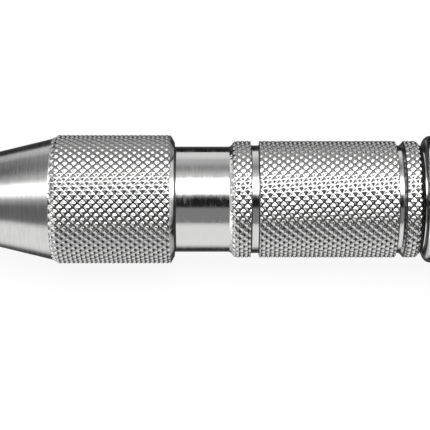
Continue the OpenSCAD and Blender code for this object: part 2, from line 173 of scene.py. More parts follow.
class NodeMaker:
    """Makes nodes in one tree: settings first, then socket values or links."""

    def __init__(self, tree: bpy.types.NodeTree) -> None:
        """Keeps the tree to build in.

        Args:
            tree: a shader or geometry node tree.
        """
        self.tree = tree

    @classmethod
    def emptied(cls, owner: Union[bpy.types.Material, bpy.types.World]) -> "NodeMaker":
        """Empties a tree to build in.

        Args:
            owner: the material or world whose tree it is.

        Returns:
            The maker of that tree.
        """
        owner.use_nodes = True
        owner.node_tree.nodes.clear()
        return cls(owner.node_tree)

    def node(
        self,
        kind: str,
        settings: Optional[dict[str, object]] = None,
        inputs: Optional[dict[Union[str, int], Value]] = None,
    ) -> bpy.types.Node:
        """Makes any node.

        Args:
            kind: the node's type name.
            settings: properties of the node, set before its sockets are read.
            inputs: values or links for the input sockets, by name or index.

        Returns:
            The node.
        """
        made = self.tree.nodes.new(kind)
        for name, value in (settings or {}).items():
            setattr(made, name, value)
        for key, value in (inputs or {}).items():
            if isinstance(value, Link):
                self.tree.links.new(value.socket, made.inputs[key])
            else:
                made.inputs[key].default_value = value
        return made

    def link(self, node: bpy.types.Node, output: Union[str, int] = 0) -> Link:
        """Returns one output of a node, wrapped."""
        return Link(self, node.outputs[output])

    def made(
        self,
        kind: str,
        settings: Optional[dict[str, object]] = None,
        inputs: Optional[dict[Union[str, int], Value]] = None,
        output: Union[str, int] = 0,
    ) -> Link:
        """Makes any node, as node does, and returns one of its outputs, wrapped."""
        return self.link(self.node(kind, settings, inputs), output)

    def math(self, operation: str, *values: Value) -> Link:
        """Returns the result of one Math node on the given values."""
        return self.made("ShaderNodeMath", {"operation": operation}, dict(enumerate(values)))

    def vector(self, x: Value, y: Value, z: Value) -> Link:
        """Returns a vector made of three values."""
        return self.made("ShaderNodeCombineXYZ", None, {"X": x, "Y": y, "Z": z})

    def coordinates(self, output: str) -> tuple[Link, ...]:
        """Reads texture coordinates.

        Args:
            output: the kind of coordinates, such as Object.

        Returns:
            Their x, y and z.
        """
        vector = self.made("ShaderNodeTexCoord", output=output)
        parts = self.node("ShaderNodeSeparateXYZ", None, {"Vector": vector})
        return tuple(self.link(parts, axis) for axis in "XYZ")

    def ray(self, *kinds: str) -> Link:
        """Tells the rays apart.

        Args:
            *kinds: outputs of the Light Path node, such as Is Camera Ray.

        Returns:
            1 for a ray of one of those kinds, else 0.
        """
        path = self.node("ShaderNodeLightPath")
        found = self.link(path, kinds[0])
        for kind in kinds[1:]:
            found = found.most(self.link(path, kind))
        return found


# Outlines


@dataclass(frozen=True)
class Corner:
    """One corner of a turned outline, in millimetres."""

    x: float
    r: float
    soften: float = 0.0
    knurled: bool = False


@dataclass(frozen=True)
class Knurl:
    """A diamond knurl: two crossed families of hollow, round-bottomed grooves, which leave small flats.

    The rising grooves climb towards the cap as seen from the camera, the falling ones sink. Each has its own
    distance from groove to groove along the tool, as two knurling wheels leave it.
    """

    starts: int
    rising: float = 1.1
    falling: float = 1.13
    depth: float = 0.18
    hollow: float = 2.0
    cells: int = 6

    @property
    def columns(self) -> int:
        """Returns how many columns of the lathe mesh follow the knurl."""
        return self.starts * self.cells

    @property
    def row_step(self) -> float:
        """Returns the distance between rows at which both families of grooves lie on the mesh's edges."""
        return 1.0 / (self.cells * (1.0 / self.rising + 1.0 / self.falling))

    @property
    def groove(self) -> float:
        """Returns half the width of a groove, in periods: all but two cells, which are left as the flat."""
        return 0.5 * (self.cells - 2) / self.cells

    def stagger(self, x: float) -> float:
        """Returns how far the row at x is turned to meet the lattice, in columns from -0.5 to 0.5."""
        return (0.5 - x * self.cells / self.falling) % 1.0 - 0.5


@dataclass(frozen=True)
class Row:
    """One row of a lathe mesh: its place, the crest it may not pass, and its turn in columns."""

    x: float
    r: float
    crest: float
    stagger: float = 0.0


class Outline:
    """The closed outline of a turned piece, from its corners."""

    FREE = 1000.0  # the crest of a row outside the knurl
    SIDE_SHARE = 0.45  # how much of a side a softened corner may take
    ROUND_STEPS = 4  # how many steps a softened corner has
    CLEAR = 0.3  # how far the knurl's rows stay from its ends, in rows

    def __init__(self, corners: Sequence[Corner], knurl: Optional[Knurl] = None) -> None:
        """Keeps the corners and the knurl.

        Args:
            corners: the corners in order. A corner marked knurled starts a knurled stretch.
            knurl: the knurl of the marked stretches.
        """
        self.corners = list(corners)
        self.knurl = knurl

    def _softened(self) -> list[Corner]:
        """Rounds the corners off.

        Returns:
            The corners, with each one that has a soften size turned into a small round.
        """
        out: list[Corner] = []
        count = len(self.corners)
        for i, corner in enumerate(self.corners):
            if corner.soften <= 0:
                out.append(corner)
                continue
            here, *sides = (
                Vector((c.x, c.r)) for c in (corner, self.corners[i - 1], self.corners[(i + 1) % count])
            )
            start, end = (
                here + (side - here).normalized() * min(corner.soften, (side - here).length * self.SIDE_SHARE)
                for side in sides
            )
            for k in range(self.ROUND_STEPS + 1):
                t = k / self.ROUND_STEPS
                p = start * (1 - t) ** 2 + here * (2 * t * (1 - t)) + end * t**2
                out.append(Corner(p.x, p.y, 0.0, corner.knurled and k == self.ROUND_STEPS))
        return out

    def rows(self) -> list[Row]:
        """Lays out the lathe mesh.

        Returns:
            Its rows, in order round the outline.
        """
        corners = self._softened()
        out: list[Row] = []
        for i, corner in enumerate(corners):
            in_knurl = corner.knurled or corners[i - 1].knurled
            out.append(Row(corner.x, corner.r, corner.r if in_knurl else self.FREE))
            if corner.knurled:
                out.extend(self._knurl_rows(corner, corners[(i + 1) % len(corners)]))
        return out

    def _knurl_rows(self, start: Corner, end: Corner) -> list[Row]:
        """Lays out a knurled stretch.

        Args:
            start: the corner before it.
            end: the corner after it.

        Returns:
            The rows between the two, on the stations of the lattice.
        """
        step = self.knurl.row_step
        low, high = sorted((start.x, end.x))
        numbers = range(math.ceil(low / step + self.CLEAR), math.floor(high / step - self.CLEAR) + 1)
        out = []
        for j in numbers if end.x >= start.x else reversed(numbers):
            x = j * step
            r = start.r + (x - start.x) / (end.x - start.x) * (end.r - start.r)
            out.append(Row(x, r, r, self.knurl.stagger(x)))
        return out


def arc(
    centre_x: float, centre_r: float, radius: float, start: float, end: float, steps: int
) -> list[Corner]:
    """Returns corners along an arc.

    Args:
        centre_x: the arc's centre along the axis.
        centre_r: the arc's centre away from the axis.
        radius: the arc's radius.
        start: the first angle in degrees; 0 points along +X and 90 away from the axis.
        end: the last angle in degrees.
        steps: how many steps to take.

    Returns:
        The corners from start to end.
    """
    out = []
    for k in range(steps + 1):
        a = math.radians(start + (end - start) * k / steps)
        out.append(Corner(centre_x + radius * math.cos(a), max(0.0, centre_r + radius * math.sin(a))))
    return out


def stepped(r: float, *steps: float) -> list[Corner]:
    """Draws square steps.

    Args:
        r: the radius before the first step.
        *steps: the x of each step and the radius behind it, in turn.

    Returns:
        Two corners for each step.
    """
    out = []
    for x, next_r in zip(steps[::2], steps[1::2]):
        out += [Corner(x, r), Corner(x, next_r)]
        r = next_r
    return out


@dataclass(frozen=True)
class Groove:
    """A polished groove across a knurl, in millimetres, with a bevel before its rear wall if it has one."""

    LIP: ClassVar[float] = 0.01

    x: float
    bevel: float = 0.0
    width: float = 1.05
    depth: float = 0.54

    def corners(self, crest_r: float) -> list[Corner]:
        """Draws the groove.

        Args:
            crest_r: the radius of the knurl's crests.

        Returns:
            Its corners, the last of which starts the knurl behind it.
        """
        low, end = crest_r - self.depth, self.x + self.width
        floor = [Corner(self.x + self.LIP, low, 0.04)]
        if self.bevel:
            floor.append(Corner(end - self.bevel, low, 0.05))
        floor.append(Corner(end - self.LIP, low + self.bevel, 0.04))
        return [Corner(self.x, crest_r), *floor, Corner(end, crest_r, knurled=True)]


# The trees that make meshes


class PieceTree:
    """A Geometry Nodes tree with named inputs, which makes one kind of piece."""

    NAME = ""
    INPUTS: dict[str, str] = {}
    SCRATCH = ("turn", "around", "station", "reach", "crest", "stagger")

    def __init__(self) -> None:
        """Makes the tree with its sockets and nodes."""
        self.tree = bpy.data.node_groups.new(self.NAME, "GeometryNodeTree")
        self.maker = NodeMaker(self.tree)
        sockets = self.tree.interface
        self.ids: dict[str, str] = {}
        for name, kind in self.INPUTS.items():
            made = sockets.new_socket(name, in_out="INPUT", socket_type="NodeSocket" + kind)
            self.ids[name] = made.identifier
        sockets.new_socket("Mesh", in_out="OUTPUT", socket_type="NodeSocketGeometry")
        source = self.maker.node("NodeGroupInput")
        given = {name: self.maker.link(source, name) for name in self.INPUTS}
        real = self.maker.made("GeometryNodeRealizeInstances", None, {"Geometry": self._shape(given)})
        dressed = self.maker.made(
            "GeometryNodeSetMaterial", None, {"Geometry": real, "Material": given["Finish"]}
        )
        self.maker.node("NodeGroupOutput", None, {"Mesh": dressed})

    def _shape(self, given: dict[str, Link]) -> Link:
        """Returns the geometry that the nodes make from the inputs; each kind of piece has its own."""
        raise NotImplementedError

    def _moved(self, geometry: Link, station: Link, radius: Link, turn: Link, hand: float = 1.0) -> Link:
        """Returns the geometry with its points placed round the X axis.

        Args:
            geometry: the points.
            station: their places along X.
            radius: their distances from the axis.
            turn: their turns round it, in whole turns.
            hand: -1 to start from the camera's side.

        Returns:
            The moved geometry.
        """
        m = self.maker
        angle = turn * (2 * math.pi)
        place = m.vector(station, radius * m.math("COSINE", angle) * hand, radius * m.math("SINE", angle))
        return m.made("GeometryNodeSetPosition", None, {"Geometry": geometry, "Position": place})

    def realised(self, name: str, seed: bpy.types.Mesh, values: dict[str, object]) -> bpy.types.Object:
        """Runs the tree on a seed mesh and keeps the result as a plain mesh.

        Args:
            name: the piece's name.
            seed: the mesh that the tree starts from.
            values: the tree's inputs by name.

        Returns:
            The piece at the origin, without modifiers, its faces pointing outwards.
        """
        source = placed(name + "_seed", seed)
        modifier = source.modifiers.new("make", "NODES")
        modifier.node_group = self.tree
        for key, value in values.items():
            modifier[self.ids[key]] = value
        bpy.context.view_layer.update()
        graph = bpy.context.evaluated_depsgraph_get()
        mesh = bpy.data.meshes.new_from_object(source.evaluated_get(graph), depsgraph=graph)
        mesh.name = name
        source.modifiers.remove(modifier)
        bpy.data.objects.remove(source)
        for attribute in [a.name for a in mesh.attributes if a.name in self.SCRATCH]:
            mesh.attributes.remove(mesh.attributes[attribute])
        shape = bmesh.new()
        shape.from_mesh(mesh)
        on_axis = [edge for edge in shape.edges if not edge.link_faces]
        bmesh.ops.delete(shape, geom=on_axis, context="EDGES")
        if shape.calc_volume(signed=True) < 0:
            bmesh.ops.reverse_faces(shape, faces=shape.faces)
        shape.to_mesh(mesh)
        open_edges = sum(1 for edge in shape.edges if len(edge.link_faces) != 2)
        shape.free()
        LOG.info("%s: %d faces, %d open edges", name, len(mesh.polygons), open_edges)
        return placed(name, mesh)


class LatheTree(PieceTree):
    """Turns an outline round the X axis and cuts a diamond knurl into it."""

    NAME = "turn_and_knurl"
    INPUTS = {
        "Outline": "Geometry", "Columns": "Int", "Starts": "Float", "Rising": "Float", "Falling": "Float",
        "Depth": "Float", "Groove": "Float", "Hollow": "Float", "Crease angle": "Float", "Finish": "Material",
    }
    MERGE = 0.2e-6  # points closer than this, in metres, become one, as on the axis
    KNURL_LIMIT = 0.1  # crests below this, in metres, belong to a knurl
    PLAIN_COLUMNS = 256

    def _stored(self, geometry: Link, name: str, value: Link) -> Link:
        """Returns the geometry with a value stored on its points under that name."""
        inputs = {"Geometry": geometry, "Name": name, "Value": value}
        return self.maker.made("GeometryNodeStoreNamedAttribute", {"data_type": "FLOAT"}, inputs)

    def _named(self, name: str) -> Link:
        """Returns a stored value of the points."""
        settings = {"data_type": "FLOAT"}
        return self.maker.made("GeometryNodeInputNamedAttribute", settings, {"Name": name}, "Attribute")

    def _groove(self, along: Link, given: dict[str, Link]) -> Link:
        """Returns the depth of one family of grooves at that many periods along it."""
        away = 0.5 - (self.maker.math("FRACT", along) - 0.5).magnitude()
        return (1.0 - (away / given["Groove"]) ** given["Hollow"]).most(0.0) * given["Depth"]

    def _shape(self, given: dict[str, Link]) -> Link:
        """Returns the turned piece: an outline swept round a circle, its points placed, its knurl cut.

        Args:
            given: the tree's inputs. The outline's points carry station, reach, crest and stagger.

        Returns:
            The mesh, smooth inside the knurl and creased at the sharp edges elsewhere.
        """
        m = self.maker
        station, reach, crest = self._named("station"), self._named("reach"), self._named("crest")
        profile = m.made("GeometryNodeMeshToCurve", None, {"Mesh": given["Outline"]})
        circle = m.made("GeometryNodeCurvePrimitiveCircle", None, {"Resolution": given["Columns"]})
        ring = self._stored(circle, "turn", m.made("GeometryNodeInputIndex") / given["Columns"])
        swept = m.made("GeometryNodeCurveToMesh", None, {"Curve": ring, "Profile Curve": profile})
        turn = self._named("turn") + self._named("stagger") / given["Columns"]
        placed = self._moved(self._stored(swept, "around", turn), station, reach, turn, -1.0)
        merged = m.made("GeometryNodeMergeByDistance", None, {"Geometry": placed, "Distance": self.MERGE})
        split = m.made("GeometryNodeTriangulate", {"quad_method": "SHORTEST_DIAGONAL"}, {"Mesh": merged})

        around = self._named("around")
        winds = around * given["Starts"]
        rising = self._groove(winds - station / given["Rising"], given)
        falling = self._groove(winds + station / given["Falling"], given)
        cut = rising.most(falling)
        plain = crest.over(self.KNURL_LIMIT)
        # Each point's share of the groove depth, which the finish uses to paint shade into the bottoms of the
        # knurl's grooves.
        marked = self._stored(split, "painted_groove_shade", cut / given["Depth"] * (1.0 - plain))
        knurled = self._moved(marked, station, reach.least(crest - cut), around, -1.0)

        smooth = m.made("GeometryNodeSetShadeSmooth", {"domain": "FACE"}, {"Geometry": knurled})
        angle = m.made("GeometryNodeInputMeshEdgeAngle", output="Unsigned Angle")
        return m.made("GeometryNodeSetShadeSmooth", {"domain": "EDGE"}, {
            "Geometry": smooth, "Selection": angle.over(given["Crease angle"]) * plain, "Shade Smooth": False,
        })

    def piece(self, name: str, outline: Outline, finish: bpy.types.Material) -> bpy.types.Object:
        """Makes one turned piece.

        Args:
            name: the piece's name.
            outline: its outline; its knurl sets the columns, if it has one.
            finish: the material of the whole piece.

        Returns:
            The new object, at the origin.
        """
        rows = outline.rows()
        knurl = outline.knurl or Knurl(1)
        n = len(rows)
        seed = bpy.data.meshes.new(name + "_outline")
        points = [(row.x * MM, 0.0, row.r * MM) for row in rows]
        seed.from_pydata(points, [(i, (i + 1) % n) for i in range(n)], [])
        for attribute, values in (
            ("station", [row.x * MM for row in rows]),
            ("reach", [row.r * MM for row in rows]),
            ("crest", [row.crest * MM for row in rows]),
            ("stagger", [row.stagger for row in rows]),
        ):
            seed.attributes.new(attribute, "FLOAT", "POINT").data.foreach_set("value", values)
        return self.realised(name, seed, {
            "Columns": knurl.columns if outline.knurl else self.PLAIN_COLUMNS,
            "Starts": float(knurl.starts),
            "Rising": knurl.rising * MM,
            "Falling": knurl.falling * MM,
            "Depth": knurl.depth * MM,
            "Groove": knurl.groove,
            "Hollow": knurl.hollow,
            "Crease angle": CREASE,
            "Finish": finish,
        })


@dataclass(frozen=True)
class Coil:
    """The sizes of a compression spring, in millimetres."""

    start_x: float
    end_x: float
    coil_r: float
    wire_r: float
    open_turns: float
    sides: int

    @property
    def keep(self) -> float:
        """Returns the share of its length that is left once the travel has been taken up."""
        return 1.0 - TRAVEL / (self.end_x - self.start_x)


class CoilTree(PieceTree):
    """Winds a round wire into a compression spring with closed ends."""

    NAME = "wind_spring"
    INPUTS = {
        "Seed": "Geometry", "Start": "Float", "Length": "Float", "Coil radius": "Float",
        "Wire radius": "Float", "Open turns": "Float", "Steps": "Int", "Sides": "Int", "Finish": "Material",
    }
    STEPS = 500

    def _shape(self, given: dict[str, Link]) -> Link:
        """Returns the spring: a line of points bent into a helix with closed ends, and a round wire along it.

        Args:
            given: the tree's inputs.

        Returns:
            The smooth mesh.
        """
        m = self.maker
        wire, free = given["Wire radius"], given["Open turns"]
        # The length holds the open turns, a closed turn at each end and half a wire beyond each of those.
        line = m.made("GeometryNodeMeshLine", None, {"Count": given["Steps"]})
        turn = m.made("GeometryNodeInputIndex") / (given["Steps"] - 1.0) * (free + 2.0)
        pitch = (given["Length"] - wire * 6.0) / free
        first = turn.least(1.0) * (wire * 2.0)
        middle = (turn - 1.0).most(0.0).least(free) * pitch
        last = (turn - 1.0 - free).most(0.0) * (wire * 2.0)
        station = given["Start"] + wire + first + middle + last
        helix = self._moved(line, station, given["Coil radius"], turn)
        curve = m.made("GeometryNodeMeshToCurve", None, {"Mesh": helix})
        section = m.made(
            "GeometryNodeCurvePrimitiveCircle", None, {"Resolution": given["Sides"], "Radius": wire}
        )
        tube = m.made(
            "GeometryNodeCurveToMesh", None, {"Curve": curve, "Profile Curve": section, "Fill Caps": True}
        )
        return m.made("GeometryNodeSetShadeSmooth", {"domain": "FACE"}, {"Geometry": tube})

    def spring(self, name: str, coil: Coil, finish: bpy.types.Material) -> bpy.types.Object:
        """Makes one spring.

        Args:
            name: the piece's name.
            coil: its sizes.
            finish: the material of the wire.

        Returns:
            The new object, at the origin.
        """
        return self.realised(name, bpy.data.meshes.new(name + "_seed"), {
            "Start": coil.start_x * MM,
            "Length": (coil.end_x - coil.start_x) * MM,
            "Coil radius": coil.coil_r * MM,
            "Wire radius": coil.wire_r * MM,
            "Open turns": coil.open_turns,
            "Steps": self.STEPS,
            "Sides": coil.sides,
            "Finish": finish,
        })


# Finishes


@dataclass(frozen=True)
class Grain:
    """How dense a surface's marks are, per millimetre along the tool and across it, and their detail."""

    along: float
    across: float
    detail: float


class Texture(Enum):
    """How a surface was worked: rings, short scratches, lines along the wire, faint haze or fine grain."""

    TURNED = Grain(4.5, 4.5, 4.0)
    GROUND = Grain(14.0, 1.2, 4.0)
    DRAWN = Grain(2.0, 22.0, 3.0)
    POLISHED = Grain(5.0, 0.8, 3.0)
    CAST = Grain(12.0, 12.0, 4.0)


@dataclass(frozen=True)
class Finish:
    """A metal or plastic finish, made of procedural nodes on Object coordinates.

    Its spread and tone say how far the marks vary the roughness and the colour, and its relief is the bump's
    height in thousandths of a millimetre. At the joints and groove edges that it lists as (x, half width),
    shade is painted into the colour and the metal is rougher; in the bottoms of the knurl's grooves, shade
    is painted to the strength that it gives.
    """

    CLOUD: ClassVar[Grain] = Grain(0.55, 0.55, 3.0)
    DRIFT: ClassVar[Grain] = Grain(6.0, 0.3, 2.0)
    DRIFT_RELIEF: ClassVar[float] = 0.3
    WIRE_LENGTHWAYS: ClassVar[float] = 0.6
    NOISE_ROUGHNESS: ClassVar[float] = 0.6
    # The fade, darkness and extra roughness of the painted shade at the seams.
    SEAM_EDGE: ClassVar[float] = 0.06
    SEAM_SHADE: ClassVar[float] = 0.9
    SEAM_ROUGH: ClassVar[float] = 0.3
    # How deep in the groove the painted groove shade begins.
    GROOVE_SHADE_START: ClassVar[float] = 0.82
    LEAST_ROUGHNESS: ClassVar[float] = 0.02

    name: str
    colour: tuple[float, float, float]
    texture: Texture
    roughness: float = 0.2
    spread: float = 0.05
    metallic: float = 1.0
    tone: float = 0.06
    relief: float = 1.0
    # Joints and groove edges where shade is painted into the colour, as (x, half width).
    shade_seams: tuple[tuple[float, float], ...] = ()
    # How much shade is painted into the bottoms of the knurl's grooves.
    painted_groove_shade: float = 0.0

    def material(self) -> bpy.types.Material:
        """Makes the material.

        Returns:
            The material, with its colour, roughness and bump from nodes.
        """
        made = bpy.data.materials.new(self.name)
        m = NodeMaker.emptied(made)
        x, y, z = (part * (1.0 / MM) for part in m.coordinates("Object"))
        height, mask = self._marks(m, x, y, z)
        cloud = self._grain(m, x, y, z, self.CLOUD) - 0.5
        shift = (mask - 0.5) * 2.0
        tone = 1.0 + shift * self.tone + cloud * self.tone
        rough = self.roughness + shift * self.spread + cloud * self.spread
        # Painted shade at joints and groove edges: the colour darkens there, and the metal is made rougher.
        for seam, half in self.shade_seams:
            seam_shade = (x - seam).magnitude().ramp(half, half + self.SEAM_EDGE, 1.0, 0.0)
            tone = tone * (1.0 - seam_shade * self.SEAM_SHADE)
            rough = rough + seam_shade * self.SEAM_ROUGH
        # Painted shade: the colour darkens towards the bottoms of the knurl's grooves.
        if self.painted_groove_shade > 0.0:
            hollow = m.made("ShaderNodeAttribute", {"attribute_name": "painted_groove_shade"}, output="Fac")
            tone = tone * (1.0 - hollow.ramp(self.GROOVE_SHADE_START, 1.0, 0.0, self.painted_groove_shade))
        colour = m.made(
            "ShaderNodeVectorMath", {"operation": "SCALE"}, {0: self.colour, "Scale": tone}, "Vector"
        )
        bump = {"Strength": 1.0, "Distance": self.relief * MM * MM, "Height": height}
        shader = m.made("ShaderNodeBsdfPrincipled", None, {
            "Base Color": colour,
            "Metallic": self.metallic,
            "Roughness": rough.most(self.LEAST_ROUGHNESS),
            "Normal": m.made("ShaderNodeBump", None, bump),
        })
        m.node("ShaderNodeOutputMaterial", None, {"Surface": shader})
        return made

    def _noise(self, m: NodeMaker, vector: Link, detail: float) -> Link:
        """Returns a noise value from 0 to 1, with one mark per unit of the vector."""
        inputs = {"Vector": vector, "Scale": 1.0, "Detail": detail, "Roughness": self.NOISE_ROUGHNESS}
        return m.made("ShaderNodeTexNoise", {"noise_dimensions": "3D"}, inputs, "Fac")

    def _grain(self, m: NodeMaker, x: Link, y: Link, z: Link, grain: Grain) -> Link:
        """Returns a noise value from 0 to 1 with that grain."""
        across = grain.across
        return self._noise(m, m.vector(x * grain.along, y * across, z * across), grain.detail)

    def _marks(self, m: NodeMaker, x: Link, y: Link, z: Link) -> tuple[Link, Link]:
        """Draws the marks of the way the surface was worked.

        Args:
            m: the material's node maker.
            x: the place along the tool, in millimetres.
            y: the place towards the back.
            z: the place upwards.

        Returns:
            The bump's height and the mask of the tone.
        """
        grain = self.texture.value
        r = m.math("SQRT", y * y + z * z)
        if self.texture is Texture.TURNED:
            rings = self._noise(m, m.vector(x * grain.along, r * grain.across, 0.0), grain.detail)
            drift = self._grain(m, x, y, z, self.DRIFT)
            return rings + drift * self.DRIFT_RELIEF, (rings + drift) * 0.5
        if self.texture is Texture.DRAWN:
            place = m.vector(r * grain.across, x * grain.along, y * self.WIRE_LENGTHWAYS)
            lines = self._noise(m, place, grain.detail)
            return lines, lines
        even = self._grain(m, x, y, z, grain)
        return even, even


class Finishes:
    """All finishes of the tool, each made once."""

    def __init__(self) -> None:
        """Makes the materials."""
        steel = (0.78, 0.78, 0.775)
        self.hardened = Finish("hardened_steel", (0.46, 0.46, 0.465), Texture.GROUND, 0.28, 0.06).material()
        self.ground = Finish("ground_steel", (0.62, 0.62, 0.615), Texture.GROUND, 0.3, 0.06).material()
        self.blued = Finish("blued_steel", (0.12, 0.13, 0.17), Texture.GROUND, 0.32, 0.06).material()
        self.wire = Finish("spring_steel", (0.5, 0.5, 0.49), Texture.DRAWN, 0.25, 0.05).material()
        self.turned = Finish(
            "turned_steel", (0.76, 0.76, 0.755), Texture.TURNED, 0.2, 0.06, tone=0.2, relief=9.0
        ).material()
        self.bronze = Finish("sintered_bronze", (0.6, 0.4, 0.18), Texture.CAST, 0.42, 0.08).material()
        # The knurled and bright steels have shade painted at their seams and into the bottoms of their
        # knurl's grooves.
        self.knurled = Finish(
            "knurled_steel", steel, Texture.POLISHED, 0.12, 0.04, shade_seams=((87.55, 0.1),), painted_groove_shade=0.62
        ).material()
        self.bright = Finish(
            "bright_steel", steel, Texture.POLISHED, 0.12, 0.26, relief=3.0,
            shade_seams=((56.83, 0.11), (66.21, 0.05), (67.14, 0.05), (84.11, 0.05), (85.0, 0.05), (87.2, 0.08)),
            painted_groove_shade=0.62,
        ).material()
        self.fibre = Finish(
            "vulcanised_fibre", (0.3, 0.1, 0.06), Texture.CAST, 0.75, 0.05, metallic=0.0, tone=0.15
        ).material()
        self.polished = Finish(
            "polished_steel", (0.8, 0.8, 0.8), Texture.POLISHED, 0.06, 0.02, relief=0.5
        ).material()
        self.nylon = Finish("nylon", (0.85, 0.84, 0.78), Texture.CAST, 0.45, 0.05, metallic=0.0).material()


def dress(finish: bpy.types.Material, *names: str) -> None:
    """Gives CAD nodes their finish.

    Args:
        finish: the material for all of their faces.
        *names: the nodes' names.
    """
    for name in names:
        node = frame["nodes"][name]
        if not node.material_slots:
            node.data.materials.append(finish)
        for slot in node.material_slots:
            slot.material = finish
        LOG.info("%s dressed in %s", name, finish.name)


def stands_for(piece: bpy.types.Object, node: str, body: str) -> None:
    """Lets a piece ride on a body in place of a CAD node.

    Args:
        piece: the new piece.
        node: the CAD node that it replaces.
        body: the body that it rides on.
    """
    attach(piece, body)
    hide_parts(node)


# The sub-assemblies


@dataclass
class NoseAndPunch:
    """The bare nose cone with its bush, and the sliding point with its rod, clip and return spring."""

    nose_x: float = 24.0
    cone_end_x: float = 47.5
    collar_x: float = 41.5
    tip_r: float = 3.3
    base_r: float = 7.54
    thread_r: float = 5.5
    hole_r: float = 2.7
    chamber_r: float = 4.2
    bush_seat_r: float = 3.62
    bush_x: float = 30.0
    bush_end_x: float = 40.0
    nose_edge: float = 0.45
    tip_flat_r: float = 0.12
    tip_l: float = 3.4
    point_r: float = 2.0
    point_end_x: float = 18.0
    shank_r: float = 2.5
    shank_x: float = 22.0
    tang_x: float = 35.0
    tang_r: float = 1.5
    tang_l: float = 6.0
    edge: float = 0.3
    coil: Coil = Coil(40.9, 56.4, 3.42, 0.28, 4.5, 14)

    def cone(self) -> Outline:
        """Draws the nose cone.

        Returns:
            Its outline with its bores.
        """
        rise = self.nose_edge * (self.base_r - self.tip_r) / (self.collar_x - self.nose_x)
        return Outline([
            Corner(self.nose_x, self.hole_r, 0.06),
            Corner(self.nose_x, self.tip_r - self.nose_edge, 0.08),
            Corner(self.nose_x + self.nose_edge, self.tip_r + rise, 0.15),
            Corner(self.collar_x, self.base_r, 0.03),
            Corner(self.collar_x, self.thread_r),
            Corner(self.cone_end_x - self.edge, self.thread_r, 0.05),
            Corner(self.cone_end_x, self.thread_r - self.edge, 0.05),
            Corner(self.cone_end_x, self.chamber_r, 0.05),
            *stepped(self.chamber_r, self.bush_end_x, self.bush_seat_r, self.bush_x, self.hole_r),
        ])

    def point(self) -> Outline:
        """Draws the point.

        Returns:
            Its outline with its tip, shank and tang.
        """
        return Outline([
            Corner(0.0, 0.0),
            Corner(0.0, self.tip_flat_r, 0.03),
            Corner(self.tip_l, self.point_r - self.edge, 0.1),
            Corner(self.tip_l + 2 * self.edge, self.point_r, 0.15),
            Corner(self.point_end_x, self.point_r, 0.15),
            Corner(self.shank_x, self.shank_r - self.edge, 0.1),
            Corner(self.shank_x + self.edge, self.shank_r, 0.08),
            Corner(self.tang_x, self.shank_r, 0.05),
            Corner(self.tang_x, self.tang_r, 0.05),
            Corner(self.tang_x + self.tang_l, self.tang_r, 0.05),
            Corner(self.tang_x + self.tang_l, 0.0),
        ])

    def build(self, lathe: LatheTree, winder: CoilTree, finishes: Finishes) -> None:
        """Makes and dresses the pieces.

        Args:
            lathe: the tree for turned pieces.
            winder: the tree for springs.
            finishes: the materials.
        """
        cone = lathe.piece("turned_nose_cone", self.cone(), finishes.turned)
        stands_for(cone, "nose_cone", "barrel")
        point = lathe.piece("ground_point", self.point(), finishes.hardened)
        stands_for(point, "punch_point", "punch")
        spring = winder.spring("wound_return_spring", self.coil, finishes.wire)
        stands_for(spring, "return_spring", "barrel")
        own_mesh(spring)
        dress(finishes.ground, "punch_rod", "return_spring_washer")
        dress(finishes.blued, "rod_stop_ring")
        dress(finishes.bronze, "nose_bush")


